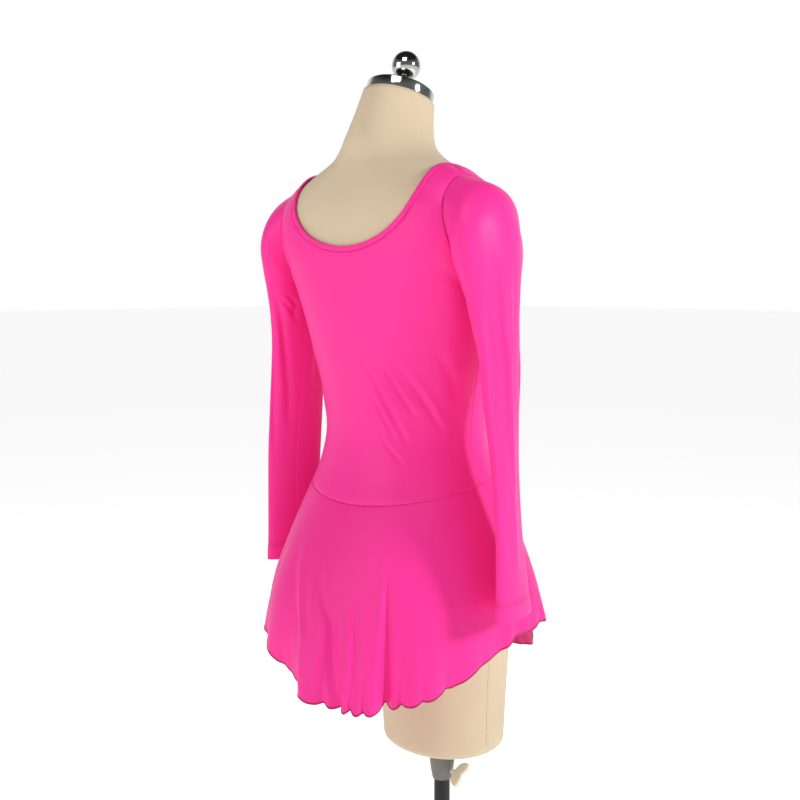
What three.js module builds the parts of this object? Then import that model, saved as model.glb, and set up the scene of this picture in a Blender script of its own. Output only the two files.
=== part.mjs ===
// A long-sleeved figure skating dress on a linen-covered dress form with a pole stand.
// Millimetres. +Z up from the floor, -Y is the front of the dress, +X is the wearer's left.
import * as THREE from "three";

// Cloth and seams
const clothThick = 1.6;
const clothClear = 2.1;
const seamGap = 0.4;
const sleeveSeamGap = 0.15;
const waistGap = 0.7;
// Steps of each panel. A half armhole has half as many steps as a sleeve has sides, and its upper
// strapLength steps lie beside as many steps of the neck edge.
const sleeveSides = 18;
const bodiceSpan = { side: 10, armhole: sleeveSides / 2, strapLength: 6, strapWidth: 3, neck: 24 };
const skirtSpan = { rows: 8, columns: 38 };
const trunkSpan = { sides: 36, coveredFrom: 840, fine: 20, coarse: 50 };

// Necklines, armholes and seams of the dress
const neckSide = 1347;
const neckBackDepth = 102;
const neckFrontDepth = 92;
const neckRound = 0.8;
// Shares of a wider neck edge that go to its sides and to its bottom
const neckSpread = { side: 0.45, bottom: 0.55 };
// The neck edge's points crowd towards the shoulder with this power
const neckCrowd = 1.3;
const bandWidth = 7;
const bandRaise = 0.6;
const armhole = { middle: 1264, halfHeight: 66, backTurn: 25, frontTurn: 24 };
const waistSeam = { back: 892, front: 940 };
// Reach of the body from its middle where each seam lies, which turns a gap into an angle
const seamReach = { side: 150, armhole: 140, skirt: 180 };

// Reach of the skirt's hem from the middle, and its height round the dress: angle is degrees from
// centre back towards the wearer's right.
const hem = { half: 198, front: 192, back: 194 };
const hemLevels = [
  { angle: -180, z: 640 },
  { angle: -150, z: 656 },
  { angle: -120, z: 714 },
  { angle: -90, z: 731 },
  { angle: -45, z: 696 },
  { angle: 0, z: 648 },
  { angle: 32, z: 645 },
  { angle: 60, z: 672 },
  { angle: 80, z: 704 },
  { angle: 98, z: 728 },
  { angle: 128, z: 726 },
  { angle: 152, z: 655 },
  { angle: 180, z: 640 },
];

// Stand
const poleCentre = -80;
const poleRadius = 12;
const poleTop = 726;
const boreRadius = 13.2;
const trunkFloor = 508;
const trunkFoot = { height: 4, floorShare: 0.86, edgeShare: 0.96 };
// The trunk's armless shoulders are rounder and narrower than the cloth that spans them
const shoulderPlate = { low: 1180, lowFade: 60, high: 1360, highFade: 22, inset: 7, boxy: 2.35 };
const collar = { length: 62, topRadius: 19, waistRadius: 17.5, footRadius: 14.5, bore: 12.8 };
const base = { radius: 165, edge: 8, thick: 14, hubRadius: 24, hubTaper: 5, hubHeight: 46 };

// The covered form, one row for each level. half is its half width, front and back are where it
// ends on Y, mid is where its sides are, square is how boxy the ring is, lean tips the ring forward.
const formLevels = [
  { z: 520, half: 94, front: -166, mid: -82, back: 1, square: 2.1, lean: 0 },
  { z: 600, half: 98, front: -170, mid: -80, back: 8, square: 2.1, lean: 0 },
  { z: 680, half: 111, front: -167, mid: -70, back: 32, square: 2.1, lean: 0 },
  { z: 740, half: 136, front: -152, mid: -44, back: 84, square: 2.1, lean: 0 },
  { z: 790, half: 158, front: -131, mid: -18, back: 117, square: 2.2, lean: 0 },
  { z: 840, half: 164, front: -115, mid: -5, back: 124, square: 2.2, lean: 0 },
  { z: 892, half: 154, front: -107, mid: -1, back: 113, square: 2.2, lean: 0 },
  { z: 940, half: 134, front: -99, mid: 0, back: 99, square: 2.1, lean: 0 },
  { z: 988, half: 122, front: -95, mid: 0, back: 92, square: 2.1, lean: 0 },
  { z: 1040, half: 127, front: -101, mid: 2, back: 95, square: 2.1, lean: 0 },
  { z: 1100, half: 141, front: -121, mid: 6, back: 102, square: 2.2, lean: 0 },
  { z: 1150, half: 151, front: -137, mid: 12, back: 107, square: 2.4, lean: 0 },
  { z: 1200, half: 161, front: -127, mid: 20, back: 111, square: 2.8, lean: 0 },
  { z: 1250, half: 174, front: -99, mid: 30, back: 113, square: 3.4, lean: 0 },
  { z: 1290, half: 176, front: -74, mid: 40, back: 110, square: 3.2, lean: 0 },
  { z: 1316, half: 165, front: -56, mid: 45, back: 105, square: 2.6, lean: 0 },
  { z: 1335, half: 143, front: -46, mid: 46, back: 100, square: 2.2, lean: 0 },
  { z: 1350, half: 115, front: -40, mid: 44, back: 96, square: 2, lean: 0 },
  { z: 1364, half: 86, front: -36, mid: 38, back: 93, square: 2, lean: 0 },
  { z: 1384, half: 65, front: -33, mid: 30, back: 91, square: 2, lean: 0.1 },
  { z: 1412, half: 55, front: -33, mid: 22, back: 77, square: 2, lean: 0.22 },
  { z: 1446, half: 49, front: -36, mid: 12, back: 61, square: 2, lean: 0.31 },
];
const formTop = formLevels[formLevels.length - 1];
const formFloor = formLevels[0];

// Hanging sleeve, from the shoulder seam to the cuff, for the wearer's left. wide runs front to back,
// deep runs outward, lean is how far the section has turned from level, and turn twists it about Z.
const sleeveLevels = [
  { x: 182, y: 39, z: 1256, wide: 63, deep: 61, lean: 78, turn: 0 },
  { x: 192, y: 44, z: 1238, wide: 58, deep: 51, lean: 66, turn: 1 },
  { x: 195.5, y: 42, z: 1212, wide: 53, deep: 38, lean: 51, turn: 2 },
  { x: 195.5, y: 38, z: 1182, wide: 49, deep: 27, lean: 31, turn: 4 },
  { x: 196.5, y: 34, z: 1145, wide: 46, deep: 20, lean: 9, turn: 6 },
  { x: 200, y: 29, z: 1100, wide: 45, deep: 16, lean: 0, turn: 10 },
  { x: 203, y: 29, z: 1050, wide: 44, deep: 14.5, lean: 0, turn: 13 },
  { x: 207, y: 29, z: 1000, wide: 43, deep: 13, lean: 0, turn: 18 },
  { x: 212, y: 29, z: 940, wide: 42, deep: 12, lean: 0, turn: 22 },
  { x: 217, y: 28, z: 870, wide: 41, deep: 12, lean: 0, turn: 21 },
  { x: 221, y: 27, z: 815, wide: 41, deep: 13, lean: 0, turn: 16 },
  { x: 224, y: 27, z: 770, wide: 42, deep: 14, lean: 0, turn: 11 },
];

const sleeveLongFrom = 5;

// Long soft folds of a sleeve: side is the place round it in degrees (0 back, 90 outside),
// high and low are its ends, depth is negative for a trough.
const sleeveFolds = [
  { side: 42, high: 1240, low: 930, depth: -3.5, width: 18 },
  { side: 76, high: 1200, low: 800, depth: 2, width: 14 },
  { side: 128, high: 1180, low: 960, depth: -2.5, width: 20 },
  { side: 222, high: 1170, low: 1010, depth: -3, width: 20 },
];
// A sleeve's fold dies away over this length at its ends, and moves its edges by this share
const sleeveFoldEnd = 80;
const sleeveFoldShare = 0.4;

// Folds of the flared skirt: angle is degrees from centre back towards the wearer's right,
// depth is at the hem and negative inwards, width is half of the fold in degrees,
// rise is the share of the skirt's length that the fold climbs.
const skirtFolds = [
  { angle: -168, depth: 9, width: 11, rise: 0.8 },
  { angle: -147, depth: -10, width: 8, rise: 0.7 },
  { angle: -126, depth: 7, width: 10, rise: 0.9 },
  { angle: -104, depth: -9, width: 8, rise: 0.65 },
  { angle: -82, depth: 7, width: 10, rise: 0.8 },
  { angle: -58, depth: -8, width: 8, rise: 0.6 },
  { angle: -36, depth: 6, width: 12, rise: 0.9 },
  { angle: -13, depth: -17, width: 8, rise: 0.75 },
  { angle: 3, depth: 5, width: 6, rise: 0.8 },
  { angle: 14, depth: -6, width: 5, rise: 0.6 },
  { angle: 27, depth: 4, width: 6, rise: 0.5 },
  { angle: 39, depth: -13, width: 5, rise: 0.65 },
  { angle: 53, depth: 3, width: 7, rise: 0.5 },
  { angle: 64, depth: -5, width: 6, rise: 0.45 },
  { angle: 84, depth: -6, width: 9, rise: 0.7 },
  { angle: 114, depth: 10, width: 13, rise: 0.9 },
  { angle: 134, depth: -12, width: 8, rise: 0.7 },
  { angle: 155, depth: 8, width: 9, rise: 0.8 },
  { angle: 176, depth: -9, width: 8, rise: 0.6 },
];
const skirtFoldPower = 1.4;

const degrees = Math.PI / 180;
const vector = (x, y, z) => new THREE.Vector3(x, y, z);
const blend = (a, b, share) => a + (b - a) * share;
const clamp = (value, low, high) => Math.min(high, Math.max(low, value));
const ease = (share) => share * share * (3 - 2 * share);
const count = (length) => Array.from({ length }, (_, index) => index);
const shares = (length) => count(length).map((index) => index / (length - 1));
// Degrees brought into -180 to 180, and a soft bump of them
const wrapped = (angle) => ((angle + 540) % 360) - 180;
const bump = (angle, width) => Math.exp(-((wrapped(angle) / width) ** 2));

// A value read between the rows of a table, smooth through each row. key is the column that rises.
function levelValue(rows, name, place, key = "z") {
  const spot = clamp(place, rows[0][key], rows[rows.length - 1][key]);
  let low = 0;
  while (low < rows.length - 2 && rows[low + 1][key] < spot) low += 1;
  const slope = (index) => {
    const a = rows[Math.max(0, index - 1)];
    const b = rows[Math.min(rows.length - 1, index + 1)];
    return (b[name] - a[name]) / (b[key] - a[key]);
  };
  const from = rows[low];
  const to = rows[low + 1];
  const span = to[key] - from[key];
  const t = (spot - from[key]) / span;
  const start = slope(low) * span;
  const end = slope(low + 1) * span;
  return (
    from[name] * (2 * t ** 3 - 3 * t ** 2 + 1) +
    start * (t ** 3 - 2 * t ** 2 + t) +
    to[name] * (3 * t ** 2 - 2 * t ** 3) +
    end * (t ** 3 - t ** 2)
  );
}

function formLevel(z) {
  const level = { z };
  for (const name of ["half", "front", "mid", "back", "square", "lean"]) {
    level[name] = levelValue(formLevels, name, z);
  }
  return level;
}

// A point of the ring at a level. turn is measured from the wearer's left (+X) towards the back.
function ringPoint(level, turn) {
  const across = Math.cos(turn);
  const along = Math.sin(turn);
  const depth = along >= 0 ? level.back - level.mid : level.mid - level.front;
  const reach =
    (Math.abs(across / level.half) ** level.square + Math.abs(along / depth) ** level.square) **
    (-1 / level.square);
  const y = level.mid + reach * along;
  return vector(reach * across, y, level.z + level.lean * (y - level.mid));
}

// A point of the skin that the dress is cut to
const formPoint = (turn, z) => ringPoint(formLevel(z), turn);

// A point of a surface given by two numbers, moved out along the surface's own normal
function movedOut(surface, a, b, step, out) {
  const around = surface(a + step.a, b).sub(surface(a - step.a, b));
  const up = surface(a, b + step.b).sub(surface(a, b - step.b));
  return surface(a, b).addScaledVector(around.cross(up).normalize(), out);
}

const formOffset = (turn, z, out) => movedOut(formPoint, turn, z, { a: 0.02, b: 3 }, out);

// The turn at which the form's ring at height z reaches x, on the back (side 1) or front (side -1)
function turnAt(x, z, side) {
  const level = formLevel(z);
  const depth = side > 0 ? level.back - level.mid : level.mid - level.front;
  const share = Math.min(1, Math.abs(x) / level.half);
  const y = depth * (1 - share ** level.square) ** (1 / level.square);
  return Math.atan2(y, x);
}

// Closed bodies from rows of points

function bodyFrom(points, faces) {
  const numbers = points.flatMap((p) => p.toArray());
  const geometry = new THREE.BufferGeometry();
  geometry.setAttribute("position", new THREE.Float32BufferAttribute(numbers, 3));
  geometry.setIndex(faces);
  geometry.computeVertexNormals();
  return geometry;
}

// The inner face of a tube of cloth, one thickness inside its rings
function tubeLining(rings) {
  const sides = rings[0].length;
  return rings.map((ring, i) =>
    ring.map((p, j) => {
      const around = ring[(j + 1) % sides].clone().sub(ring[(j + sides - 1) % sides]);
      const above = rings[Math.max(0, i - 1)][j];
      const down = rings[Math.min(rings.length - 1, i + 1)][j].clone().sub(above);
      return p.clone().addScaledVector(around.cross(down).normalize(), -clothThick);
    }),
  );
}

// A wall of cloth between its outer and inner rows of points. A closed one is a tube.
function clothWall(outerRows, innerRows, closed) {
  const height = outerRows.length;
  const width = outerRows[0].length;
  const size = height * width;
  const outer = (i, j) => i * width + (j % width);
  const inner = (i, j) => size + outer(i, j);
  const faces = [];
  const quad = (a, b, c, d) => faces.push(a, b, c, a, c, d);
  const steps = closed ? width : width - 1;
  const last = height - 1;
  for (let i = 0; i < last; i += 1) {
    for (let j = 0; j < steps; j += 1) {
      quad(outer(i, j), outer(i, j + 1), outer(i + 1, j + 1), outer(i + 1, j));
      quad(inner(i, j), inner(i + 1, j), inner(i + 1, j + 1), inner(i, j + 1));
    }
  }
  for (let j = 0; j < steps; j += 1) {
    quad(outer(0, j), inner(0, j), inner(0, j + 1), outer(0, j + 1));
    quad(outer(last, j), outer(last, j + 1), inner(last, j + 1), inner(last, j));
  }
  if (!closed) {
    for (let i = 0; i < last; i += 1) {
      quad(outer(i, 0), outer(i + 1, 0), inner(i + 1, 0), inner(i, 0));
      quad(outer(i, steps), inner(i, steps), inner(i + 1, steps), outer(i + 1, steps));
    }
  }
  return bodyFrom([...outerRows.flat(), ...innerRows.flat()], faces);
}

// A solid through closed rings from the bottom up, with a fan at each end
function ringSolid(rings) {
  const width = rings[0].length;
  const points = rings.flat();
  const centre = (ring) => ring.reduce((sum, p) => sum.add(p), vector(0, 0, 0)).divideScalar(width);
  const floor = points.length;
  const top = floor + 1;
  points.push(centre(rings[0]), centre(rings[rings.length - 1]));
  const faces = [];
  for (let i = 0; i < rings.length - 1; i += 1) {
    for (let j = 0; j < width; j += 1) {
      const next = (j + 1) % width;
      const low = i * width;
      const high = low + width;
      faces.push(low + j, low + next, high + next, low + j, high + next, high + j);
    }
  }
  const last = (rings.length - 1) * width;
  for (let j = 0; j < width; j += 1) {
    const next = (j + 1) % width;
    faces.push(floor, next, j);
    faces.push(top, last + j, last + next);
  }
  return bodyFrom(points, faces);
}

// Materials
const satin = { color: 0xf23a9b, roughness: 0.48, metalness: 0 };
const linen = { color: 0xd6c0a0, roughness: 0.9, metalness: 0 };
const steel = { color: 0xc9cbce, roughness: 0.16, metalness: 1 };
const blackPaint = { color: 0x1d1d1f, roughness: 0.35, metalness: 0.1 };
const greyPlastic = { color: 0x827d78, roughness: 0.6, metalness: 0 };
const creamPlastic = { color: 0xe1d7be, roughness: 0.5, metalness: 0 };

const group = new THREE.Group();

function add(name, geometry, look) {
  const mesh = new THREE.Mesh(geometry, new THREE.MeshStandardMaterial(look));
  mesh.name = name;
  group.add(mesh);
  return mesh;
}

// Bodice

const skin = clothClear + clothThick;
const fromBack = (turn) => Math.cos(turn - Math.PI / 2);
const seamHeight = (turn) => blend(waistSeam.front, waistSeam.back, (1 + fromBack(turn)) / 2);
const neckDepth = (side) => (side > 0 ? neckBackDepth : neckFrontDepth);

// A point of the neck edge: share runs from the left shoulder to the right shoulder, and grow is how
// far the point lies outside the edge
function neckEdge(share, side, grow = 0) {
  const top = neckSide - neckSpread.side * grow;
  const half = (2 * Math.min(share, 1 - share)) ** neckCrowd / 2;
  const sweep = Math.PI * (share > 0.5 ? 1 - half : half);
  const depth = neckDepth(side) + neckSpread.bottom * grow;
  const z = top - depth * Math.sin(sweep) ** neckRound;
  const x = formLevel(top).half * Math.cos(sweep);
  return { turn: turnAt(x, z, side) * side, z };
}

// A point of the armhole of the left side, swept from the underarm (-90) to the shoulder (90)
function armholeEdge(sweep, side, grow) {
  const turn = (side > 0 ? armhole.backTurn : armhole.frontTurn) * degrees;
  return {
    turn: side * (turn + grow / seamReach.armhole) * Math.cos(sweep),
    z: armhole.middle + (armhole.halfHeight + grow) * Math.sin(sweep),
  };
}

const mirrorTurn = (edge, side) => ({ turn: side * Math.PI - edge.turn, z: edge.z });

const placeBetween = (a, b, share) => ({
  turn: blend(a.turn, b.turn, share),
  z: blend(a.z, b.z, share),
});
const placesBetween = (a, b, steps) => shares(steps + 1).map((share) => placeBetween(a, b, share));

// The panel as grids of places, side 1 for the back and -1 for the front: the body, whose head is the
// lower armhole, the strap's foot and half the neck edge, and a strap at each shoulder
function bodiceGrids(side) {
  const span = bodiceSpan;
  const edgeTurn = side * (seamGap / 2 / seamReach.side);
  const neckGrow = bandWidth + 2 * seamGap;
  const halfNeck = span.neck / 2;
  const strapStart = span.armhole - span.strapLength;
  const armholeAt = (index) => {
    const sweep = blend(-Math.PI / 2, Math.PI / 2, index / span.armhole);
    const edge = armholeEdge(sweep, side, seamGap);
    return { turn: edge.turn + edgeTurn, z: edge.z };
  };
  const neckAt = (index) => {
    const edge = neckEdge(index / span.neck, side, neckGrow);
    return index > 0 ? edge : { turn: edgeTurn, z: edge.z };
  };
  const outside = count(span.strapLength + 1).map((index) => armholeAt(strapStart + index));
  const inside = count(span.strapLength + 1).map((index) => neckAt(span.strapLength - index));
  const strap = outside.map((place, i) => placesBetween(place, inside[i], span.strapWidth));
  const head = [
    ...count(strapStart).map(armholeAt),
    ...strap[0],
    ...count(halfNeck - span.strapLength).map((index) => neckAt(span.strapLength + 1 + index)),
  ];
  const foot = shares(head.length).map((share) => {
    const turn = blend(edgeTurn, (side * Math.PI) / 2, share);
    return { turn, z: seamHeight(turn) + waistGap / 2 };
  });
  const body = shares(span.side + 1).map((rise) =>
    foot.map((place, j) => placeBetween(place, head[j], rise)),
  );
  const mirrored = (rows) => rows.map((row) => row.map((place) => mirrorTurn(place, side)).reverse());
  const whole = mirrored(body).map((row, i) => [...body[i], ...row.slice(1)]);
  const grids = [whole, strap, mirrored(strap)];
  return side > 0 ? grids : grids.map((rows) => rows.map((row) => [...row].reverse()));
}

function bodicePanel(side) {
  const places = [];
  const found = new Map();
  const indexOf = (place) => {
    const key = `${place.turn.toFixed(6)} ${place.z.toFixed(3)}`;
    if (!found.has(key)) found.set(key, places.push(place) - 1);
    return found.get(key);
  };
  const grids = bodiceGrids(side).map((rows) => rows.map((row) => row.map(indexOf)));
  const size = places.length;
  const faces = [];
  const rim = new Map();
  const cell = (corners) => {
    const [a, b, c, d] = corners;
    faces.push(a, b, c, a, c, d, size + a, size + c, size + b, size + a, size + d, size + c);
    corners.forEach((from, k) => {
      const to = corners[(k + 1) % corners.length];
      if (!rim.delete(`${to} ${from}`)) rim.set(`${from} ${to}`, [from, to]);
    });
  };
  for (const rows of grids) {
    for (let i = 0; i < rows.length - 1; i += 1) {
      for (let j = 0; j < rows[i].length - 1; j += 1) {
        cell([rows[i][j], rows[i][j + 1], rows[i + 1][j + 1], rows[i + 1][j]]);
      }
    }
  }
  for (const [from, to] of rim.values()) {
    faces.push(to, from, size + from, to, size + from, size + to);
  }
  const face = (out) => places.map((place) => formOffset(place.turn, place.z, out));
  return bodyFrom([...face(skin), ...face(clothClear)], faces);
}

add("bodice_back", bodicePanel(1), satin);
add("bodice_front", bodicePanel(-1), satin);

// Neck edge: a narrow turned band all round the neckline, a little proud of the bodice

function neckBand() {
  const steps = bodiceSpan.neck;
  const halfPlaces = (side) => count(steps).map((index) => ({ side, share: index / steps }));
  const places = [...halfPlaces(1), ...halfPlaces(-1)];
  const section = [
    { out: clothClear, grow: 0 },
    { out: skin + bandRaise, grow: 0 },
    { out: skin + bandRaise, grow: bandWidth },
    { out: clothClear, grow: bandWidth },
  ];
  const rings = section.map((corner) =>
    places.map((place) => {
      const edge = neckEdge(place.share, place.side, corner.grow);
      const { turn, z } = place.side > 0 ? edge : mirrorTurn(edge, place.side);
      return formOffset(turn, z, corner.out);
    }),
  );
  const width = places.length;
  const faces = [];
  for (let i = 0; i < section.length; i += 1) {
    const from = i * width;
    const to = ((i + 1) % section.length) * width;
    for (let j = 0; j < width; j += 1) {
      const k = (j + 1) % width;
      faces.push(from + j, to + k, from + k, from + j, to + j, to + k);
    }
  }
  return bodyFrom(rings.flat(), faces);
}

add("neck_band", neckBand(), satin);

// Sleeves

const sleeveStep = (2 * Math.PI) / sleeveSides;
const sleeveSweeps = count(sleeveSides).map((index) => sleeveStep * (index + 0.5));

function sleeveFold(side, z) {
  let sum = 0;
  for (const fold of sleeveFolds) {
    const fromHigh = clamp((fold.high - z) / sleeveFoldEnd, 0, 1);
    const fromLow = clamp((z - fold.low) / sleeveFoldEnd, 0, 1);
    sum += fold.depth * ease(fromHigh * fromLow) * bump(side - fold.side, fold.width);
  }
  return sum;
}

function sleeveRing(level) {
  const lean = level.lean * degrees;
  const turn = level.turn * degrees;
  const backward = vector(Math.sin(turn), Math.cos(turn), 0);
  const outward = vector(Math.cos(turn), -Math.sin(turn), Math.tan(lean)).normalize();
  return sleeveSweeps.map((sweep) => {
    const side = sweep / degrees;
    const fold = sleeveFold(side, level.z);
    return vector(level.x, level.y, level.z)
      .addScaledVector(backward, (level.wide + fold * sleeveFoldShare) * Math.cos(sweep))
      .addScaledVector(outward, (level.deep + fold) * Math.sin(sweep));
  });
}

function sleeveWall(mirror) {
  const seam = sleeveSweeps.map((sweep) => {
    const side = Math.cos(sweep) >= 0 ? 1 : -1;
    const edge = armholeEdge(Math.asin(Math.sin(sweep)), side, -sleeveSeamGap);
    return formOffset(edge.turn, edge.z, skin);
  });
  const rings = [seam, ...sleeveLevels.map(sleeveRing)];
  // The long rings of the arm are halved
  const halfway = (index) => rings[index].map((p, j) => p.clone().lerp(rings[index + 1][j], 0.5));
  const halved = (index) => index >= sleeveLongFrom && index < rings.length - 1;
  const fine = rings.flatMap((ring, index) => (halved(index) ? [ring, halfway(index)] : [ring]));
  const sided = fine.map((ring) => ring.map((p) => vector(mirror * p.x, p.y, p.z)));
  const rows = mirror > 0 ? sided : sided.map((ring) => [...ring].reverse());
  return clothWall(rows, tubeLining(rows), true);
}

add("sleeve_left", sleeveWall(1), satin);
add("sleeve_right", sleeveWall(-1), satin);

// Skirt

function skirtFold(angle, share) {
  let sum = 0;
  for (const fold of skirtFolds) {
    const climb = clamp((share - (1 - fold.rise)) / fold.rise, 0, 1);
    sum += fold.depth * climb ** skirtFoldPower * bump(angle - fold.angle, fold.width);
  }
  return sum;
}

const backAngle = (turn) => wrapped(turn / degrees - 90);
const hemHeight = (turn) => levelValue(hemLevels, "z", backAngle(turn), "angle");

function skirtPoint(turn, share) {
  const seamZ = seamHeight(turn) - waistGap / 2;
  const seam = formOffset(turn, seamZ, skin);
  const across = Math.cos(turn);
  const along = Math.sin(turn);
  const reach = along >= 0 ? hem.back : hem.front;
  const edge = ((across / hem.half) ** 2 + (along / reach) ** 2) ** -0.5;
  // The flare is full at the back and straight at the front
  const flare = blend(Math.sin((share * Math.PI) / 2), share, ease(clamp(-along, 0, 1)));
  const out = vector(across, along, 0);
  const flat = vector(seam.x, seam.y, 0).lerp(out.clone().multiplyScalar(edge), flare);
  flat.addScaledVector(out, skirtFold(backAngle(turn), share));
  return vector(flat.x, flat.y, blend(seam.z, hemHeight(turn), share));
}

function skirtPanel(start) {
  const edge = seamGap / 2 / seamReach.skirt;
  const step = { a: 0.02, b: 0.02 };
  const up = (turn, rise) => skirtPoint(turn, 1 - rise);
  const turns = shares(skirtSpan.columns).map((u) => start + blend(edge, Math.PI - edge, u));
  const face = (out) =>
    shares(skirtSpan.rows).map((rise) => turns.map((turn) => movedOut(up, turn, rise, step, out)));
  return clothWall(face(0), face(-clothThick), false);
}

add("skirt_back", skirtPanel(0), satin);
add("skirt_front", skirtPanel(Math.PI), satin);

// Dress form

function trunkLevel(z) {
  const level = formLevel(z);
  const fromLow = clamp((z - shoulderPlate.low) / shoulderPlate.lowFade, 0, 1);
  const fromHigh = clamp((shoulderPlate.high - z) / shoulderPlate.highFade, 0, 1);
  const half = level.half - shoulderPlate.inset * fromLow * fromHigh;
  return { ...level, half, square: Math.min(level.square, shoulderPlate.boxy) };
}

function trunk() {
  const turns = count(trunkSpan.sides).map((index) => (2 * Math.PI * index) / trunkSpan.sides);
  const circle = (radius, z) =>
    turns.map((turn) => vector(radius * Math.cos(turn), poleCentre + radius * Math.sin(turn), z));
  const shrunk = (share, z) => {
    const middle = vector(0, formFloor.mid, z);
    return turns.map((turn) => formPoint(turn, formFloor.z).setZ(z).sub(middle))
      .map((p) => p.multiplyScalar(share).add(middle));
  };
  const heights = [formFloor.z];
  for (const { z } of formLevels.slice(1)) {
    const below = heights[heights.length - 1];
    const step = z > trunkSpan.coveredFrom ? trunkSpan.fine : trunkSpan.coarse;
    const steps = Math.ceil((z - below) / step);
    heights.push(...count(steps).map((index) => blend(below, z, (index + 1) / steps)));
  }
  const rings = [
    circle(boreRadius, poleTop + 1),
    circle(boreRadius, trunkFloor),
    shrunk(trunkFoot.floorShare, trunkFloor),
    shrunk(trunkFoot.edgeShare, trunkFloor + trunkFoot.height),
    ...heights.map((z) => turns.map((turn) => ringPoint(trunkLevel(z), turn))),
  ];
  return ringSolid(rings);
}

add("form_trunk", trunk(), linen);

const capLean = Math.atan(formTop.lean);
const capSeat = vector(0, (formTop.front + formTop.back) / 2, formTop.z);
const capAxis = vector(0, -Math.sin(capLean), Math.cos(capLean));

function lathe(profile, sides = 24) {
  const geometry = new THREE.LatheGeometry(profile.map(([r, h]) => new THREE.Vector2(r, h)), sides);
  return geometry.rotateX(Math.PI / 2);
}

function onCap(mesh, height) {
  mesh.rotation.x = capLean;
  mesh.position.copy(capSeat.clone().addScaledVector(capAxis, height));
}

const cap = { radius: 47, thick: 16, edge: 2 };
const capProfile = [
  [0, 0],
  [cap.radius, 0],
  [cap.radius, cap.thick - cap.edge],
  [cap.radius - cap.edge, cap.thick],
  [0, cap.thick],
];
onCap(add("neck_cap", lathe(capProfile, 32), steel), seamGap);

const ball = { radius: 20, stem: 7, stemHeight: 14 };
const ballCentre = ball.stemHeight + Math.sqrt(ball.radius ** 2 - ball.stem ** 2);
const ballStart = Math.asin(ball.stem / ball.radius);
const ballProfile = [
  [0, 0],
  [ball.stem, 0],
  ...shares(11).map((share) => {
    const angle = blend(ballStart, Math.PI, share);
    return [ball.radius * Math.sin(angle), ballCentre - ball.radius * Math.cos(angle)];
  }),
];
onCap(add("ball_finial", lathe(ballProfile, 24), steel), seamGap * 2 + cap.thick);

// Stand

const collarTop = trunkFloor - seamGap;
const collarProfile = [
  [collar.bore, 0],
  [collar.footRadius, 0],
  [collar.waistRadius, 16],
  [collar.topRadius, 30],
  [collar.topRadius, collar.length],
  [collar.bore, collar.length],
  [collar.bore, 0],
];
add("collar", lathe(collarProfile), greyPlastic).position.set(0, poleCentre, collarTop - collar.length);

// Wing screw: a flat leaf on a stem, standing out of the collar towards the wearer's right
const screw = { stem: 7, start: 18.4, thick: 6, tip: 38, z: 461 };
const leaf = { start: 26, end: 46, half: 20, tipStart: 42, notch: 40 };
const screwOutline = new THREE.Shape();
screwOutline.moveTo(screw.start, -screw.stem / 2);
screwOutline.lineTo(leaf.start, -screw.stem / 2);
screwOutline.quadraticCurveTo(leaf.start, -leaf.half, leaf.tipStart, -leaf.half);
screwOutline.quadraticCurveTo(leaf.end, -leaf.half / 2, leaf.notch, 0);
screwOutline.quadraticCurveTo(leaf.end, leaf.half / 2, leaf.tipStart, leaf.half);
screwOutline.quadraticCurveTo(leaf.start, leaf.half, leaf.start, screw.stem / 2);
screwOutline.lineTo(screw.start, screw.stem / 2);
const screwDepth = { depth: screw.thick, bevelEnabled: false, curveSegments: 8 };
const screwBody = new THREE.ExtrudeGeometry(screwOutline, screwDepth);
screwBody.translate(0, 0, -screw.thick / 2).rotateX(screw.tip * degrees).rotateZ(Math.PI);
add("wing_screw", screwBody, creamPlastic).position.set(0, poleCentre, screw.z);

const poleFoot = base.thick + seamGap;
const poleProfile = [
  [0, poleFoot],
  [poleRadius, poleFoot],
  [poleRadius, poleTop],
  [0, poleTop],
];
add("pole", lathe(poleProfile), blackPaint).position.y = poleCentre;

const baseProfile = [
  [0, 0],
  [base.radius - base.edge, 0],
  [base.radius, base.edge],
  [base.radius - base.edge, base.thick],
  [0, base.thick],
];
add("base", lathe(baseProfile, 48), blackPaint).position.y = poleCentre;

const hubProfile = [
  [poleRadius + seamGap, base.thick + seamGap],
  [base.hubRadius, base.thick + seamGap],
  [base.hubRadius - base.hubTaper, base.hubHeight],
  [poleRadius + seamGap, base.hubHeight],
  [poleRadius + seamGap, base.thick + seamGap],
];
add("base_hub", lathe(hubProfile), blackPaint).position.y = poleCentre;

// The tables lie about the form's middle. The whole part stands with its origin under the pole.
for (const mesh of group.children) {
  mesh.position.y -= poleCentre;
}

export default group;
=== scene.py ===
# A pink figure skating dress on a linen dress form, built over its CAD frame
import bmesh
import bpy
import math
import numpy as np
from mathutils import Matrix, Vector


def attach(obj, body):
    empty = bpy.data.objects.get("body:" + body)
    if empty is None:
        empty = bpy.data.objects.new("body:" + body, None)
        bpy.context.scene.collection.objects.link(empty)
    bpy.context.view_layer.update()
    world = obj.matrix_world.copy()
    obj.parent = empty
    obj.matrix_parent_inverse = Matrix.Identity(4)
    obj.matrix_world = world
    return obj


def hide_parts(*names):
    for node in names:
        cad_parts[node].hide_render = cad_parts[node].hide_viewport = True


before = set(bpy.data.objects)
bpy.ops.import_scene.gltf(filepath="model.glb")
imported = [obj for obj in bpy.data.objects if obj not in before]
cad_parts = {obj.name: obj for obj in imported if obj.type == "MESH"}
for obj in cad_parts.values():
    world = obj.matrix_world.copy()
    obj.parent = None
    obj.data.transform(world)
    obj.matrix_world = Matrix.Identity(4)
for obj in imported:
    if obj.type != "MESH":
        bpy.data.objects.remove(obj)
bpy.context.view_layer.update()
mm = 0.001
stage = bpy.context.scene

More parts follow.
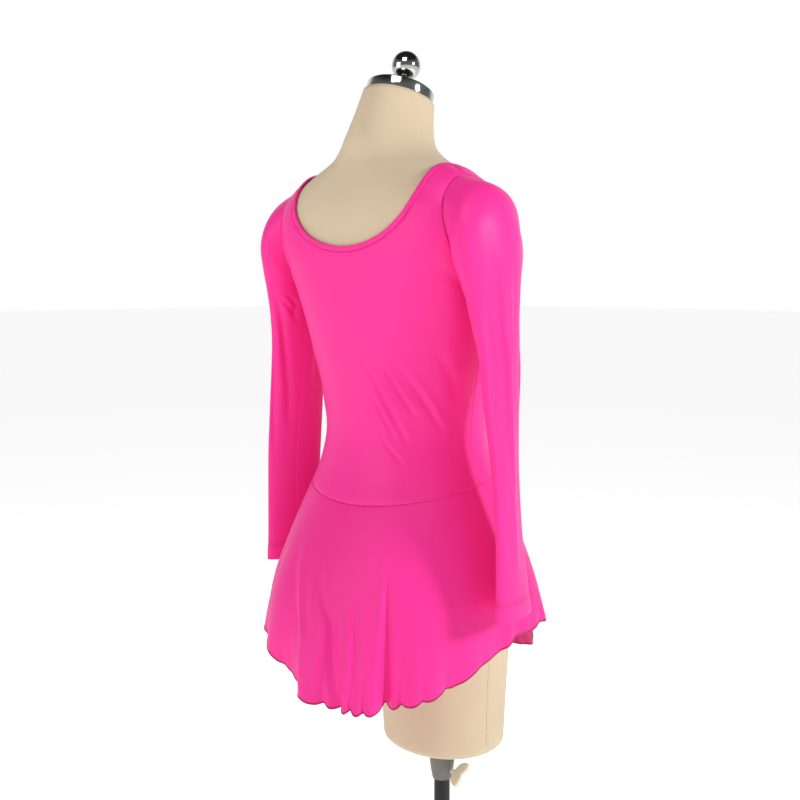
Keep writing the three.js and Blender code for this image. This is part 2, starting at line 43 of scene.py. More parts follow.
# ---- the body that the dress is cut to, in mm ----
# level, half width, front, middle and back on Y, squareness, forward lean
formLevels = [
    (520, 94, -86, -2, 81, 2.1, 0), (600, 98, -90, 0, 88, 2.1, 0), (680, 111, -87, 10, 112, 2.1, 0),
    (740, 136, -72, 36, 164, 2.1, 0), (790, 158, -51, 62, 197, 2.2, 0), (840, 164, -35, 75, 204, 2.2, 0),
    (892, 154, -27, 79, 193, 2.2, 0), (940, 134, -19, 80, 179, 2.1, 0), (988, 122, -15, 80, 172, 2.1, 0),
    (1040, 127, -21, 82, 175, 2.1, 0), (1100, 141, -41, 86, 182, 2.2, 0), (1150, 151, -57, 92, 187, 2.4, 0),
    (1200, 161, -47, 100, 191, 2.8, 0), (1250, 174, -19, 110, 193, 3.4, 0), (1290, 176, 6, 120, 190, 3.2, 0),
    (1316, 165, 24, 125, 185, 2.6, 0), (1335, 143, 34, 126, 180, 2.2, 0), (1350, 115, 40, 124, 176, 2, 0),
    (1364, 86, 44, 118, 173, 2, 0), (1384, 65, 47, 110, 171, 2, 0.1), (1412, 55, 47, 102, 157, 2, 0.22),
    (1446, 49, 44, 92, 141, 2, 0.31),
]
bodyMiddle = 80  # the body stands this far behind the pole's axis

cloth = {"thick": 1.3, "clear": 2.3, "seamGap": 0.12, "waistGap": 0.16}
cloth["skin"] = cloth["clear"] + cloth["thick"]


def readTable(rows, place):
    # reads every column of a table at a place, smooth through its rows
    table = np.array(rows, float)
    key = table[:, 0]
    x = np.clip(np.asarray(place, float), key[0], key[-1])
    i = np.clip(np.searchsorted(key, x, side="left") - 1, 0, len(key) - 2)
    slope = np.empty_like(table)
    slope[1:-1] = (table[2:] - table[:-2]) / (key[2:] - key[:-2])[:, None]
    slope[0] = (table[1] - table[0]) / (key[1] - key[0])
    slope[-1] = (table[-1] - table[-2]) / (key[-1] - key[-2])
    span = (key[i + 1] - key[i])[..., None]
    s = (x - key[i])[..., None] / span
    value = table[i] * (2 * s**3 - 3 * s**2 + 1) + slope[i] * span * (s**3 - 2 * s**2 + s)
    value = value + table[i + 1] * (3 * s**2 - 2 * s**3) + slope[i + 1] * span * (s**3 - s**2)
    return value[..., 1:]


def ease(share):
    share = np.clip(share, 0, 1)
    return share * share * (3 - 2 * share)


def mix(a, b, share):
    return a + (b - a) * share


def bell(away, width):
    return np.exp(-((away / width) ** 2))


def angleFrom(angle, place):
    # degrees past a place, from -180 to 180
    return (angle - place + 540) % 360 - 180


def ringPoint(turn, z, inset=0.0):
    half, front, mid, back, square, lean = np.moveaxis(readTable(formLevels, z), -1, 0)
    half = half - inset
    across, along = np.cos(turn), np.sin(turn)
    depth = np.where(along >= 0, back - mid, mid - front)
    reach = (np.abs(across / half) ** square + np.abs(along / depth) ** square) ** (-1 / square)
    return np.stack([reach * across, mid + reach * along, z + lean * reach * along], -1)


def unit(v):
    return v / np.maximum(np.linalg.norm(v, axis=-1, keepdims=True), 1e-9)


def formSkin(turn, z, out):
    # a point of the body moved out along the body's own normal
    turn, z = np.broadcast_arrays(np.asarray(turn, float), np.asarray(z, float))
    around = ringPoint(turn + 0.02, z) - ringPoint(turn - 0.02, z)
    up = ringPoint(turn, z + 3) - ringPoint(turn, z - 3)
    return ringPoint(turn, z) + unit(np.cross(around, up)) * np.asarray(out)[..., None]


def backAngle(turn):
    # degrees from centre back towards the wearer's right
    return angleFrom(np.degrees(turn), 90)


creaseShape = {"ridgeAway": 1.7, "ridgeWidth": 1.3, "ridgeShare": 0.5, "endPower": 0.7}


def creaseDepth(creases, angle, z, perDegree=2.6):
    # soft troughs with a low ridge beside them: each has its depth (below zero it stands out), its half width
    # and the points of (angle, height) that it runs through; lengths are in mm
    depths = np.zeros(np.broadcast(angle, z).shape)
    here = np.stack(np.broadcast_arrays(angle * perDegree, z), -1)
    for depth, width, path in creases:
        points = np.array(path, float) * (perDegree, 1)
        best = np.full(depths.shape, 1e9)
        side = np.zeros(depths.shape)
        along = np.zeros(depths.shape)
        lengths = np.linalg.norm(np.diff(points, axis=0), axis=1)
        total, before = lengths.sum(), 0.0
        for a, b, length in zip(points[:-1], points[1:], lengths):
            line = (b - a) / length
            t = np.clip((here - a) @ line, 0, length)
            away = here - (a + t[..., None] * line)
            distance = np.linalg.norm(away, axis=-1)
            nearer = distance < best
            best = np.where(nearer, distance, best)
            side = np.where(nearer, away @ np.array([-line[1], line[0]]), side)
            along = np.where(nearer, (before + t) / total, along)
            before += length
        fade = np.sin(np.pi * np.clip(along, 0.02, 0.98)) ** creaseShape["endPower"]
        ridgeAway = np.hypot(side - creaseShape["ridgeAway"] * width, np.sqrt(np.maximum(best**2 - side**2, 0)))
        ridge = creaseShape["ridgeShare"] * bell(ridgeAway, creaseShape["ridgeWidth"] * width)
        depths += depth * fade * (ridge - bell(best, width))
    return depths


# ---- meshes ----
def linked(name, data):
    thing = bpy.data.objects.new(name, data)
    stage.collection.objects.link(thing)
    return thing


def meshPiece(name, work, material, sharpAngle=None):
    # a bmesh as a smooth piece with one material
    mesh = bpy.data.meshes.new(name)
    work.to_mesh(mesh)
    work.free()
    mesh.shade_smooth()
    if sharpAngle:
        mesh.set_sharp_from_angle(angle=math.radians(sharpAngle))
    mesh.materials.append(material)
    return linked(name, mesh)


def applied(piece):
    # the piece with its modifiers turned into a plain mesh
    bpy.context.view_layer.update()
    mesh = bpy.data.meshes.new_from_object(piece.evaluated_get(bpy.context.evaluated_depsgraph_get()))
    name = mesh.name = piece.name
    bpy.data.objects.remove(piece)
    return linked(name, mesh)


def breakEdges(work, angle, width, segments):
    # a small bevel on every edge that turns by more than an angle
    sharp = [e for e in work.edges if len(e.link_faces) == 2 and e.calc_face_angle(0) > math.radians(angle)]
    bmesh.ops.bevel(work, geom=sharp, offset=width * mm, segments=segments, profile=0.5, affect="EDGES")


def pieceFromGrids(name, grids, uvs, material, thick=0.0, closed=False):
    # joins grids of points (mm) that share their edges, and gives the sheet its thickness inwards
    def cells(table):
        return np.stack([table[:-1, :-1], table[:-1, 1:], table[1:, 1:], table[1:, :-1]], 2)

    points, quads, corners, start = [], [], [], 0
    for grid, uv in zip(grids, uvs):
        rows, columns = grid.shape[:2]
        index = start + np.arange(rows * columns).reshape(rows, columns)
        if closed:
            index = np.concatenate([index, index[:, :1]], axis=1)
        quads.append(cells(index).reshape(-1, 4))
        corners.append(cells(uv).reshape(-1, 4, 2))
        points.append(grid.reshape(-1, 3))
        start += rows * columns
    points, quads, corners = np.concatenate(points), np.concatenate(quads), np.concatenate(corners)
    mesh = bpy.data.meshes.new(name)
    mesh.vertices.add(len(points))
    mesh.vertices.foreach_set("co", (points * mm).ravel())
    mesh.loops.add(quads.size)
    mesh.loops.foreach_set("vertex_index", quads.ravel().astype(np.int32))
    mesh.polygons.add(len(quads))
    mesh.polygons.foreach_set("loop_start", np.arange(0, quads.size, 4, dtype=np.int32))
    mesh.uv_layers.new(name="clothMap").data.foreach_set("uv", (corners * mm).ravel())
    mesh.update(calc_edges=True)
    work = bmesh.new()
    work.from_mesh(mesh)
    bpy.data.meshes.remove(mesh)
    bmesh.ops.remove_doubles(work, verts=work.verts, dist=2e-6)
    piece = meshPiece(name, work, material)
    if not thick:
        return piece
    shell = piece.modifiers.new("shell", "SOLIDIFY")
    shell.thickness = thick * mm
    shell.offset = -1
    return applied(piece)


def roundMap(round, columns, rows):
    # map of a piece that closes on itself: its way round in mm, and a place for each row
    return np.stack(np.broadcast_arrays(np.linspace(0, round, columns + 1)[None], rows[:, None]), -1)


def lathePiece(name, profile, material, middle=(0, 0, 0), tilt=0.0, sides=96, bevel=0.4):
    # a turned piece from (radius, height) in mm, its edges broken by a bevel
    turns = np.linspace(0, 2 * math.pi, sides, endpoint=False)
    work = bmesh.new()
    rings = []
    for radius, height in profile:
        rings.append([work.verts.new((radius * math.cos(t) * mm, radius * math.sin(t) * mm, height * mm))
                      for t in (turns if radius > 1e-6 else [0])])
    for low, high in zip(rings[:-1], rings[1:]):
        for k in range(sides):
            n = (k + 1) % sides
            ring = [low[k % len(low)], low[n % len(low)], high[n % len(high)], high[k % len(high)]]
            corners = list(dict.fromkeys(ring))
            if len(corners) > 2:
                work.faces.new(corners)
    bmesh.ops.remove_doubles(work, verts=work.verts, dist=1e-7)
    bmesh.ops.recalc_face_normals(work, faces=work.faces)
    if bevel:
        breakEdges(work, 28, bevel, 3)
    work.transform(Matrix.Translation(Vector(middle) * mm) @ Matrix.Rotation(tilt, 4, "X"))
    return meshPiece(name, work, material, 40)


# ---- node groups ----
def nodeGroup(name, inputs, outputs, kind="ShaderNodeTree"):
    tree = bpy.data.node_groups.new(name, kind)
    for label, socketKind, value in inputs:
        socket = tree.interface.new_socket(label, in_out="INPUT", socket_type="NodeSocket" + socketKind)
        if value is not None:
            socket.default_value = value
    for label, socketKind in outputs:
        tree.interface.new_socket(label, in_out="OUTPUT", socket_type="NodeSocket" + socketKind)
    return tree, tree.nodes.new("NodeGroupInput").outputs, tree.nodes.new("NodeGroupOutput")


def setInputs(node, inputs):
    # each input takes a value or a link from another node's output
    for slot, value in inputs.items():
        if isinstance(value, bpy.types.NodeSocket):
            node.id_data.links.new(value, node.inputs[slot])
        else:
            node.inputs[slot].default_value = value


def addNode(tree, kind, inputs, **settings):
    node = tree.nodes.new(kind)
    for label, value in settings.items():
        setattr(node, label, value)
    setInputs(node, inputs)
    return node


def mathNode(tree, operation, *values):
    return addNode(tree, "ShaderNodeMath", dict(enumerate(values)), operation=operation).outputs[0]


def buildGrain(name, isKnit):
    # threads of a knit (ribs of small loops) or of a plain weave, on a map in metres
    sizes = [("Map", "Vector", None), ("Threads", "Float", 1800.0), ("Slub", "Float", 0.3)]
    tree, given, result = nodeGroup(name, sizes, [("Height", "Float"), ("Tone", "Float")])

    def made(operation, *values):
        return mathNode(tree, operation, *values)

    split = addNode(tree, "ShaderNodeSeparateXYZ", {0: given["Map"]})
    slub = addNode(tree, "ShaderNodeTexNoise", {"Scale": 240.0, "Detail": 2.0, "Vector": given["Map"]}).outputs["Fac"]
    bend = made("MULTIPLY", made("SUBTRACT", slub, 0.5), given["Slub"])
    u, v = [made("ADD", made("MULTIPLY", split.outputs[axis], given["Threads"]), bend) for axis in "XY"]
    if isKnit:
        rib = made("PINGPONG", u, 0.5)
        chevron = made("ADD", made("MULTIPLY", v, 0.8), rib)
        loop = made("SINE", made("MULTIPLY", chevron, 2 * math.pi))
        high = made("ADD", made("MULTIPLY", loop, 0.3), made("MULTIPLY", rib, 1.4))
    else:
        warp, weft = [made("SINE", made("MULTIPLY", place, 2 * math.pi)) for place in (u, v)]
        high = made("MULTIPLY_ADD", made("MULTIPLY", warp, weft), 0.4, 0.5)
    setInputs(result, {"Height": high, "Tone": made("MULTIPLY_ADD", slub, 0.5, made("MULTIPLY", high, 0.5))})
    return tree


def buildWear():
    # slow and fine changes of tone, from Object coordinates
    sizes = [("Place", "Vector", None), ("Size", "Float", 14.0), ("Fine", "Float", 420.0)]
    tree, given, result = nodeGroup("surfaceChange", sizes, [("Slow", "Float"), ("Fine", "Float")])
    for label, scale, detail in (("Slow", "Size", 3.0), ("Fine", "Fine", 4.0)):
        noise = addNode(tree, "ShaderNodeTexNoise", {"Vector": given["Place"], "Scale": given[scale],
                                                    "Detail": detail})
        setInputs(result, {label: noise.outputs["Fac"]})
    return tree


knitGrain = buildGrain("knitGrain", True)
weaveGrain = buildGrain("weaveGrain", False)
surfaceChange = buildWear()


# ---- materials ----
def finishMaterial(name, sockets={}, **look):
    # one Principled material: its own sockets, colours, gloss, grain group and its sizes
    material = bpy.data.materials.new(name)
    material.use_nodes = True
    tree = material.node_tree
    place = tree.nodes.new("ShaderNodeTexCoord").outputs
    change = addNode(tree, "ShaderNodeGroup", {"Size": look["slow"], "Fine": look["fine"], "Place": place["Object"]},
                     node_tree=surfaceChange)
    tone, height = change.outputs["Slow"], change.outputs["Fine"]
    if "grain" in look:
        grain = addNode(tree, "ShaderNodeGroup", {
            "Threads": look["threads"], "Slub": look["slub"], "Map": place["UV"],
        }, node_tree=look["grain"])
        height = grain.outputs["Height"]
        tone = mathNode(tree, "MULTIPLY_ADD", tone, 0.5, mathNode(tree, "MULTIPLY", grain.outputs["Tone"], 0.5))
    bump = addNode(tree, "ShaderNodeBump", {"Strength": look["bump"], "Distance": look["relief"] * mm,
                                            "Height": height})
    shade = addNode(tree, "ShaderNodeMix", {"A": (*look["dark"], 1), "B": (*look["light"], 1), "Factor": tone},
                    data_type="RGBA")
    gloss = addNode(tree, "ShaderNodeMapRange", {"To Min": look["gloss"][0], "To Max": look["gloss"][1],
                                                 "Value": change.outputs["Slow"]})
    setInputs(tree.nodes["Principled BSDF"], {
        **sockets, "Base Color": shade.outputs["Result"], "Roughness": gloss.outputs["Result"],
        "Normal": bump.outputs["Normal"],
    })
    return material


satin = finishMaterial(
    "stretchSatin",
    sockets={"Sheen Weight": 0.12, "Sheen Roughness": 0.4, "Sheen Tint": (1.0, 0.3, 0.62, 1), "IOR": 1.45,
             "Specular IOR Level": 0.2},
    dark=(0.84, 0.026, 0.255), light=(0.93, 0.040, 0.335), slow=5.0, fine=300.0,
    grain=knitGrain, threads=1700.0, slub=0.25, bump=0.12, relief=0.12, gloss=(0.4, 0.5),
)
thread = finishMaterial(
    "hemThread", sockets={"Sheen Weight": 0.3, "Sheen Tint": (1.0, 0.5, 0.7, 1)},
    dark=(0.27, 0.002, 0.04), light=(0.42, 0.004, 0.075), slow=60.0, fine=3000.0,
    bump=0.3, relief=0.1, gloss=(0.4, 0.55),
)
linen = finishMaterial(
    "linenCover", sockets={"Sheen Weight": 0.15},
    dark=(0.52, 0.40, 0.26), light=(0.70, 0.57, 0.40), slow=9.0, fine=300.0,
    grain=weaveGrain, threads=1100.0, slub=0.9, bump=0.35, relief=0.25, gloss=(0.8, 0.92),
)
linenThread = finishMaterial(
    "linenThread", dark=(0.20, 0.15, 0.09), light=(0.30, 0.23, 0.15), slow=60.0, fine=3000.0,
    bump=0.2, relief=0.1, gloss=(0.7, 0.8),
)
steel = finishMaterial(
    "polishedSteel", sockets={"Metallic": 1.0}, dark=(0.50, 0.50, 0.50), light=(0.58, 0.58, 0.57), slow=20.0,
    fine=900.0, bump=0.02, relief=0.05, gloss=(0.06, 0.14),
)
blackPaint = finishMaterial(
    "blackPaint", sockets={"Specular IOR Level": 0.25}, dark=(0.010, 0.010, 0.012),
    light=(0.018, 0.018, 0.020), slow=30.0, fine=1400.0, bump=0.06, relief=0.08,
    gloss=(0.42, 0.52),
)
greyPlastic = finishMaterial(
    "greyPlastic", dark=(0.13, 0.122, 0.11), light=(0.19, 0.178, 0.16), slow=40.0, fine=1600.0,
    bump=0.15, relief=0.1, gloss=(0.5, 0.62),
)
creamPlastic = finishMaterial(
    "creamPlastic", sockets={"Subsurface Weight": 0.1}, dark=(0.60, 0.55, 0.42), light=(0.70, 0.66, 0.53), slow=50.0,
    fine=1200.0, bump=0.05, relief=0.08, gloss=(0.34, 0.44),
)
print("materials ready")

# ---- bodice ----
bodice = {
    "neckSide": 1347, "neckDepth": {1: 102, -1: 92}, "neckRound": 0.8, "spreadSide": 0.45, "spreadBottom": 0.55,
    "neckCrowd": 1.3, "bandWidth": 7, "armMiddle": 1264, "armHalf": 66, "armTurn": {1: 19, -1: 21},
    "armRadius": 140, "perRadian": 150, "waistBack": 897, "waistFront": 955, "seamDip": 0.7, "dipWidth": 2.4,
    "rows": 120, "armLow": 26, "strapWidth": 18, "neckLow": 60, "strapLength": 56,
    # the side seam: how wide it is, its share of the seam's dip below and above the armhole
    "sideSeam": (1.6, 0.5, 0.3),
    # the cloth stands further off at the lower back, and no crease runs deeper than this
    "lift": {"angle": 38, "z": 1030, "height": 2.6, "wide": 34, "tall": 80}, "deepest": 4.2,
    # creases of the lower back, then softer ones of the sides and the front: (degrees from centre back, height)
    "creases": [
        (3.5, 5.0, [(10, 1106), (22, 1072), (34, 1036), (48, 982)]), (2.7, 3.6, [(19, 1052), (29, 1021), (39, 990)]),
        (3.8, 4.2, [(31, 1092), (42, 1056), (54, 1018)]), (2.8, 4.8, [(44, 1088), (57, 1048), (69, 1003)]),
        (2.0, 3.4, [(27, 990), (36, 972), (46, 952)]), (1.6, 8.0, [(62, 1120), (74, 1070), (82, 1020)]),
        (2.0, 7.0, [(-46, 1090), (-60, 1040), (-72, 990)]), (1.8, 7.5, [(-62, 1120), (-76, 1070), (-84, 1015)]),
        (1.2, 6.0, [(58, 1236), (72, 1206), (84, 1176)]), (1.2, 6.0, [(-58, 1236), (-71, 1208), (-83, 1182)]),
        (1.5, 7.0, [(118, 1190), (132, 1176), (146, 1170)]), (1.5, 7.0, [(-116, 1194), (-130, 1178), (-145, 1173)]),
        (1.9, 8.0, [(150, 1100), (134, 1056), (118, 1010)]), (1.6, 8.0, [(-152, 1096), (-136, 1050), (-120, 1006)]),
        (1.2, 6.0, [(170, 1012), (156, 990), (140, 976)]),
    ],
}


def seamHeight(turn):
    return mix(bodice["waistFront"], bodice["waistBack"], (1 + np.cos(turn - math.pi / 2)) / 2)


def turnAt(x, z, side):
    half, front, mid, back, square, _ = np.moveaxis(readTable(formLevels, z), -1, 0)
    depth = back - mid if side > 0 else mid - front
    share = np.minimum(1, np.abs(x) / half)
    return np.arctan2(depth * (1 - share**square) ** (1 / square), x)


def neckEdge(share, side, grow):
    top = bodice["neckSide"] - bodice["spreadSide"] * grow
    half = (2 * np.minimum(share, 1 - share)) ** bodice["neckCrowd"] / 2
    sweep = math.pi * np.where(share > 0.5, 1 - half, half)
    depth = bodice["neckDepth"][side] + bodice["spreadBottom"] * grow
    z = top - depth * np.sin(sweep) ** bodice["neckRound"]
    x = readTable(formLevels, top)[0] * np.cos(sweep)
    return np.stack([side * turnAt(x, z, side), z], -1)


def armholeEdge(sweep, side, grow):
    turn = math.radians(bodice["armTurn"][side]) + grow / bodice["armRadius"]
    z = bodice["armMiddle"] + (bodice["armHalf"] + grow) * np.sin(sweep)
    return np.stack([side * turn * np.cos(sweep), z], -1)


def bodiceGrids(side):
    # the same layout as the CAD panel, finer: body columns from the waist to their head, and two straps
    span = bodice
    edge = side * cloth["seamGap"] / 2 / bodice["perRadian"]
    low, high = [armholeEdge(np.radians(np.linspace(*sweeps)), side, cloth["seamGap"]) + (edge, 0)
                 for sweeps in ((-90, -30, span["armLow"]), (-30, 90, span["strapLength"]))]
    grow = span["bandWidth"] + 2 * cloth["seamGap"]
    inside = neckEdge(np.linspace(0.25, 0, span["strapLength"]), side, grow)
    inside[:, 0] = side * np.maximum(np.abs(edge), side * inside[:, 0])
    share = np.linspace(0, 1, span["strapWidth"])[None, :, None]
    strap = mix(high[:, None], inside[:, None], share)
    scoop = neckEdge(np.linspace(0.25, 0.5, span["neckLow"]), side, grow)
    head = np.concatenate([low[:-1], strap[0], scoop[1:]])
    foot = np.empty_like(head)
    foot[:, 0] = np.linspace(edge, side * math.pi / 2, len(head))
    foot[:, 1] = seamHeight(foot[:, 0]) + cloth["waistGap"] / 2
    body = mix(foot[None], head[None], np.linspace(0, 1, span["rows"])[:, None, None])

    def mirrored(grid):
        other = grid[:, ::-1].copy()
        other[..., 0] = side * math.pi - other[..., 0]
        return other

    whole = np.concatenate([body, mirrored(body)[:, 1:]], axis=1)
    grids = [whole, strap, mirrored(strap)]
    return grids if side > 0 else [grid[:, ::-1] for grid in grids]


def bodicePiece(name, side):
    deepest, lift, half = bodice["deepest"], bodice["lift"], bodice["armHalf"]
    seamWidth, *seamShares = bodice["sideSeam"]
    grids, uvs = [], []
    for grid in bodiceGrids(side):
        turn, z = grid[..., 0], grid[..., 1]
        angle = backAngle(turn)
        crease = creaseDepth(bodice["creases"], angle, z)
        crease = np.where(crease < 0, -deepest * np.tanh(-crease / deepest), crease)
        slack = bell(angle - lift["angle"], lift["wide"]) * bell(z - lift["z"], lift["tall"])
        fromSide = np.abs((turn + math.pi / 2) % math.pi - math.pi / 2)
        arm = np.hypot(fromSide / math.radians(bodice["armTurn"][side]), (z - bodice["armMiddle"]) / half)
        dip = np.maximum(bell(z - seamHeight(turn), bodice["dipWidth"]), bell((arm - 1) * half, bodice["dipWidth"]))
        below = z < bodice["armMiddle"] - half
        sideSeam = bell(fromSide * bodice["perRadian"], seamWidth) * np.where(below, *seamShares)
        out = cloth["skin"] + lift["height"] * slack + crease
        grids.append(formSkin(turn, z, out - bodice["seamDip"] * np.maximum(dip, sideSeam)))
        uvs.append(np.stack([turn * bodice["perRadian"], z], -1))
    return pieceFromGrids(name, grids, uvs, satin, cloth["thick"])


bodiceBack = bodicePiece("bodiceBack", 1)
bodiceFront = bodicePiece("bodiceFront", -1)
print("bodice ready")

# ---- neck edge, a narrow turned band ----
band = {"steps": 240, "proud": 0.7, "section": 12, "wave": 0.25, "waveTurns": 60, "inside": 0.9, "rise": 0.6,
        "map": (900, 16), "stitches": 200, "stitchIn": 1.6, "stitchOut": 0.75}


def neckRow(steps, grow, out, lift=0.0):
    # one row of points round the whole neckline
    share = np.linspace(0, 1, steps, endpoint=False)
    rows = []
    for side in (1, -1):
        edge = neckEdge(share, side, grow)
        turn = edge[:, 0] if side > 0 else side * math.pi - edge[:, 0]
        puff = band["wave"] * np.sin(share * band["waveTurns"] + side)
        rows.append(formSkin(turn, edge[:, 1], out + puff * lift))
    return np.concatenate(rows)


def neckBandPiece():
    rings = []
    for step in range(band["section"]):
        angle = 2 * math.pi * step / band["section"]
        grow = bodice["bandWidth"] / 2 * (1 - math.cos(angle))
        lift = math.sin(angle)
        outer = cloth["skin"] + band["proud"] * max(lift, 0) ** band["rise"]
        out = outer if lift >= 0 else mix(cloth["skin"], band["inside"], min(1, -2 * lift))
        rings.append(neckRow(band["steps"], grow, out, max(lift, 0)))
    grid = np.stack(rings + rings[:1])
    length, width = band["map"]
    uv = roundMap(length, grid.shape[1], np.linspace(0, width, len(grid)))
    return pieceFromGrids("neckBand", [grid[::-1]], [uv], satin, closed=True)


neckBand = neckBandPiece()
print("neck edge ready")

# ---- sleeves ----
sleeve = {
    # x, y, z, half width front to back, half depth outward, lean of the section, turn about Z
    "levels": [
        (182, 119, 1256, 63, 61, 78, 0), (192, 124, 1238, 58, 51, 66, 1), (195.5, 122, 1212, 53, 38, 51, 2),
        (195.5, 118, 1182, 49, 27, 31, 4), (196.5, 114, 1145, 46, 20, 9, 6), (200, 109, 1100, 45, 16, 0, 10),
        (203, 109, 1050, 44, 14.5, 0, 13), (207, 109, 1000, 43, 13, 0, 18), (212, 109, 940, 42, 12, 0, 22),
        (217, 108, 870, 41, 12, 0, 21), (221, 107, 815, 41, 13, 0, 16), (224, 107, 770, 42, 14, 0, 11),
    ],
    # long folds: degrees round the sleeve (0 back, 90 outside), upper end, lower end, depth, width
    "folds": [(42, 1195, 930, -3.5, 18), (76, 1180, 800, 2.6, 12), (128, 1180, 960, -2.5, 20),
              (222, 1170, 1010, -3, 20)],
    "foldEnd": 80, "foldShare": 0.4, "around": 110, "rows": 260, "seamGap": 0.15, "tuck": 0.5, "perDegree": 0.55,
    "mapRound": 250, "cuffStitch": (22.5, 25.5), "stitchDip": (0.8, 1.1), "topFade": 14,
    "hem": {"proud": 0.35, "long": 28, "fade": 4}, "underSeam": {"angle": 272, "deep": 0.5, "wide": 1.3, "fade": 30},
    "rightCreases": [
        (4.6, 4.0, [(64, 1222), (69, 1130), (72, 1050), (73, 930)]),
        (-2.6, 3.4, [(94, 1200), (98, 1100), (101, 980)]),
        (1.6, 4.2, [(46, 1190), (43, 1130), (41, 1050), (43, 960)]), (1.6, 4.0, [(14, 1250), (8, 1225), (4, 1195)]),
        (0.9, 4.0, [(64, 1180), (60, 1090), (63, 1010)]), (0.9, 5.0, [(20, 960), (40, 900), (52, 850)]),
        (1.5, 4.0, [(310, 1205), (330, 1180), (345, 1150)]), (1.2, 5.0, [(160, 1130), (140, 1080), (150, 1020)]),
        (1.2, 5.0, [(250, 1150), (262, 1110), (255, 1060)]),
    ],
    "leftCreases": [
        (2.9, 5.0, [(335, 1195), (318, 1120), (300, 1040), (290, 975)]),
        (3.2, 4.0, [(300, 1195), (288, 1172), (292, 1150)]), (2.6, 3.5, [(312, 1180), (298, 1160), (285, 1140)]),
        (1.6, 5.0, [(350, 1110), (340, 1020), (325, 930)]), (2.2, 5.0, [(52, 1200), (48, 1100), (50, 1000)]),
        (1.9, 5.5, [(120, 1170), (132, 1090), (128, 1020)]), (1.9, 5.0, [(240, 1140), (232, 1090), (238, 1040)]),
    ],
}


def smoothRows(rings, rows):
    # points between rings, evenly spaced down the sleeve and smooth through each ring
    rings = np.asarray(rings)
    gaps = np.linalg.norm(np.diff(rings, axis=0), axis=-1).mean(axis=1)
    key = np.concatenate([[0], np.cumsum(gaps)])
    flat = np.concatenate([key[:, None], rings.reshape(len(rings), -1)], axis=1)
    place = np.linspace(0, key[-1], rows)
    return readTable(flat, place).reshape(rows, -1, 3), place


def sleevePiece(name, mirror, creases):
    sweeps = np.linspace(0, 2 * math.pi, sleeve["around"], endpoint=False)
    degrees = np.degrees(sweeps)
    side = np.where(np.cos(sweeps) >= 0, 1, -1)
    seam = np.array([armholeEdge(math.asin(math.sin(s)), int(k), -sleeve["seamGap"]) for s, k in zip(sweeps, side)])
    rings = [formSkin(seam[:, 0], seam[:, 1], cloth["skin"] - sleeve["tuck"])]
    for x, y, z, wide, deep, lean, turn in sleeve["levels"]:
        lean, turn = math.radians(lean), math.radians(turn)
        backward = np.array([math.sin(turn), math.cos(turn), 0])
        outward = np.array([math.cos(turn) * math.cos(lean), -math.sin(turn) * math.cos(lean), math.sin(lean)])
        fold = np.zeros(len(sweeps))
        for place, high, low, depth, width in sleeve["folds"]:
            rise = np.clip((high - z) / sleeve["foldEnd"], 0, 1) * np.clip((z - low) / sleeve["foldEnd"], 0, 1)
            fold += depth * ease(rise) * bell(angleFrom(degrees, place), width)
        rings.append(np.array([x, y, z]) + backward * ((wide + fold * sleeve["foldShare"]) * np.cos(sweeps))[:, None]
                     + outward * ((deep + fold) * np.sin(sweeps))[:, None])
    grid, place = smoothRows(rings, sleeve["rows"])
    around = np.roll(grid, -1, axis=1) - np.roll(grid, 1, axis=1)
    down = np.gradient(grid, axis=0)
    normal = unit(np.cross(around, down))
    level = grid[..., 2].mean(axis=1)[:, None] * np.ones_like(degrees)[None]
    out = sum(creaseDepth(creases, degrees[None] + shift, level, sleeve["perDegree"]) for shift in (-360, 0, 360))
    fromEnd = place[-1] - place
    deep, wide = sleeve["stitchDip"]
    for stitch in sleeve["cuffStitch"]:
        out -= (deep * bell(fromEnd - stitch, wide))[:, None]
    hem, under = sleeve["hem"], sleeve["underSeam"]
    out += (hem["proud"] * ease((hem["long"] - fromEnd) / hem["fade"]))[:, None]
    line = bell(angleFrom(degrees, under["angle"]) * sleeve["perDegree"], under["wide"])
    out -= under["deep"] * line[None] * ease(place / under["fade"])[:, None]
    out *= ease(place / sleeve["topFade"])[:, None]
    grid = grid + normal * out[..., None]
    grid[..., 0] *= mirror
    uv = roundMap(sleeve["mapRound"], len(sweeps), place)
    if mirror < 0:
        grid = grid[:, ::-1]
    piece = pieceFromGrids(name, [grid], [uv], satin, cloth["thick"], closed=True)
    return piece, grid, place


sleeveLeft, leftGrid, sleevePlace = sleevePiece("sleeveLeft", 1, sleeve["leftCreases"])
sleeveRight, rightGrid, _ = sleevePiece("sleeveRight", -1, sleeve["rightCreases"])
print("sleeves ready")

